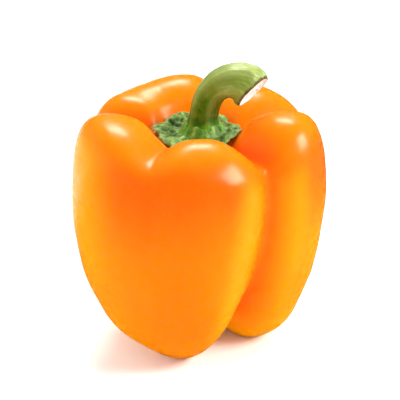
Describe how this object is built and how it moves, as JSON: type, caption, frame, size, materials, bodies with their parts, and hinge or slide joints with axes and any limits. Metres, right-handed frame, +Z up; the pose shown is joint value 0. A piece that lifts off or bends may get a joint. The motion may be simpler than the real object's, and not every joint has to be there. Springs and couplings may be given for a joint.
{
  "type": "bell pepper",
  "caption": "Ripe orange block-shaped bell pepper with rounded lobes, deep grooves, a ragged green calyx and a thick bent stem, standing upright on its feet.",
  "frame": {"origin": "middle of the footprint (centre of the bounding box seen from above), on the plane that the pepper stands on", "axes": "+Z up, from the feet to the stem; +X the way the stem bends over; -Y the side with the broad front lobe"},
  "size_m": [0.086, 0.0828, 0.1048],
  "materials": {
    "skin": "glossy waxy orange skin, redder in the grooves and yellower on the crests",
    "calyx": "satin mid-green leafy tissue with radial ridges and paler ragged edges",
    "stem": "satin yellow-green ribbed stalk with a pale dry cut end and a brown rim"
  },
  "bodies": {
    "root": {"fruit": "skin", "calyx": "calyx", "stem": "stem"}
  },
  "joints": []
}
